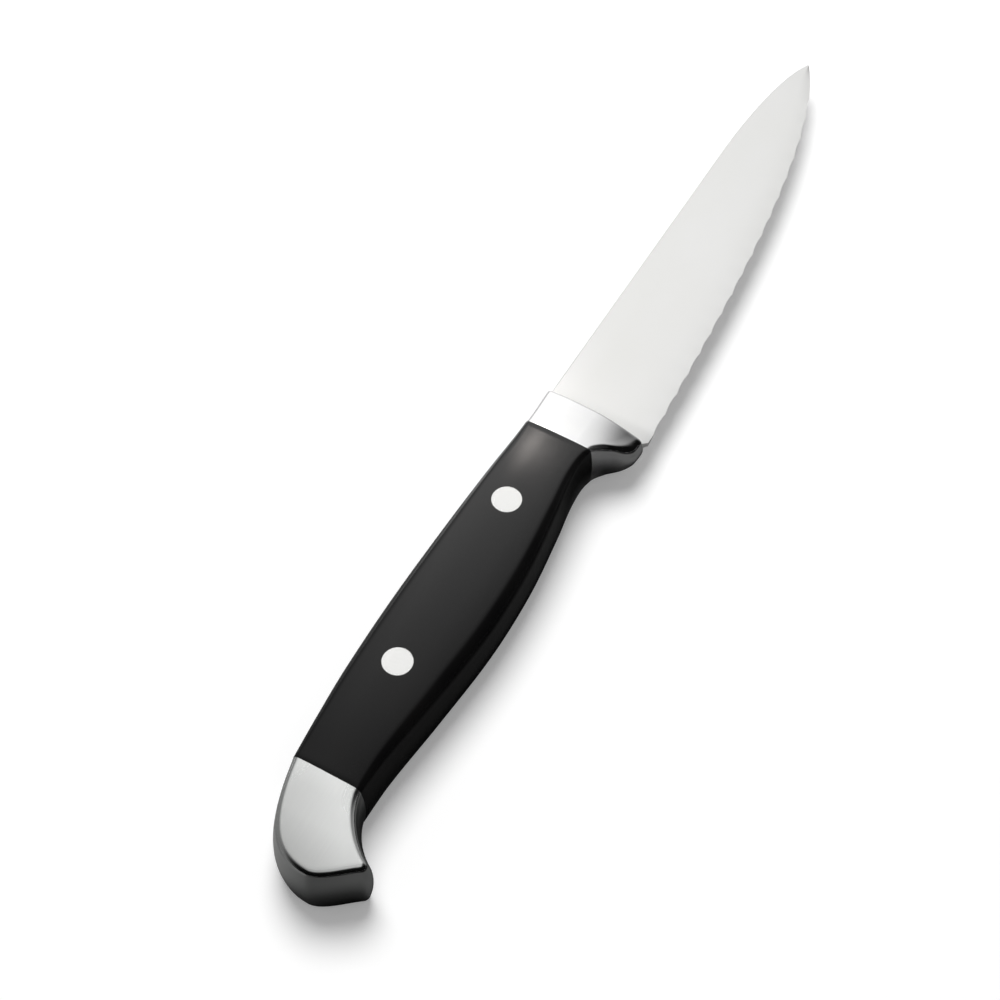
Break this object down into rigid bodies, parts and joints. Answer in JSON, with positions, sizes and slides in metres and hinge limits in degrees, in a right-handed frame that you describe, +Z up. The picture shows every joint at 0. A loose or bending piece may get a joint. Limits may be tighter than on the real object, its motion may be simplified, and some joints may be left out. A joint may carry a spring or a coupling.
{
  "type": "steak knife",
  "caption": "Fixed-blade steak knife with a scalloped edge, a bolster with a finger guard, riveted black scales and a hooked steel end cap.",
  "frame": {"origin": "under the middle of the knife's bounding box, on the surface that the knife lies on", "axes": "+X to the point of the blade, +Y to the spine, +Z up through the thickness, with the knife lying on its left side"},
  "size_m": [0.229, 0.0276, 0.0142],
  "materials": {
    "satin_steel": "satin ground blade steel",
    "polished_steel": "mirror-polished stainless steel",
    "rivet_steel": "polished flush with the scales",
    "brushed_steel": "finely polished stainless steel",
    "black_plastic": "black moulded plastic, half gloss"
  },
  "bodies": {
    "root": {"blade": "satin_steel", "bolster": "polished_steel", "right_scale": "black_plastic", "left_scale": "black_plastic", "front_rivet_pin": "rivet_steel", "front_rivet_barrel": "rivet_steel", "rear_rivet_pin": "rivet_steel", "rear_rivet_barrel": "rivet_steel", "end_cap": "brushed_steel"}
  },
  "joints": []
}
